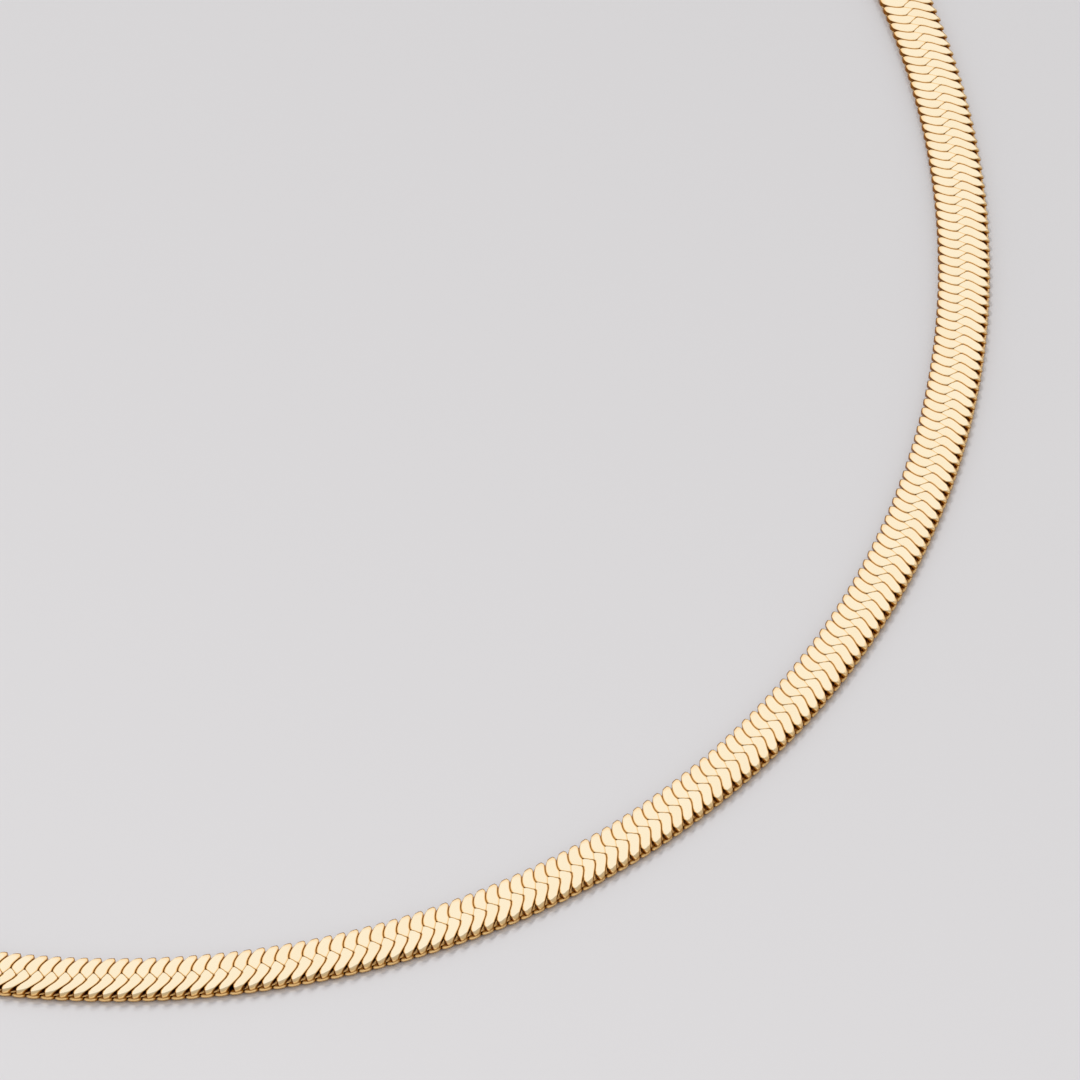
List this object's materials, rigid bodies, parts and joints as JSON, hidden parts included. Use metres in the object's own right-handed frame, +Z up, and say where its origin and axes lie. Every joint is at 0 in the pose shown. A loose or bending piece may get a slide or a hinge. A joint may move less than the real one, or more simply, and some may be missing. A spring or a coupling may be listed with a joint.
{
  "type": "herringbone chain necklace",
  "caption": "Flat woven herringbone neck chain lying as a closed egg-shaped loop, with folded end caps and a plain closed clasp.",
  "frame": {"origin": "under the middle of the loop's box, on the surface that the chain lies on", "axes": "+Z up from the surface; +Y from the front of the loop towards the clasp; +X to the wearer's left when the clasp is at the back of the neck"},
  "size_m": [0.1264, 0.1722, 0.0019],
  "materials": {
    "band_gold": "polished pale yellow gold, flat faces with fine dark lines between the links",
    "fitting_gold": "polished pale yellow gold"
  },
  "bodies": {
    "root": {"chain_right": "band_gold", "chain_left": "band_gold", "end_cap_right": "fitting_gold", "end_cap_left": "fitting_gold", "clasp": "fitting_gold"}
  },
  "joints": []
}
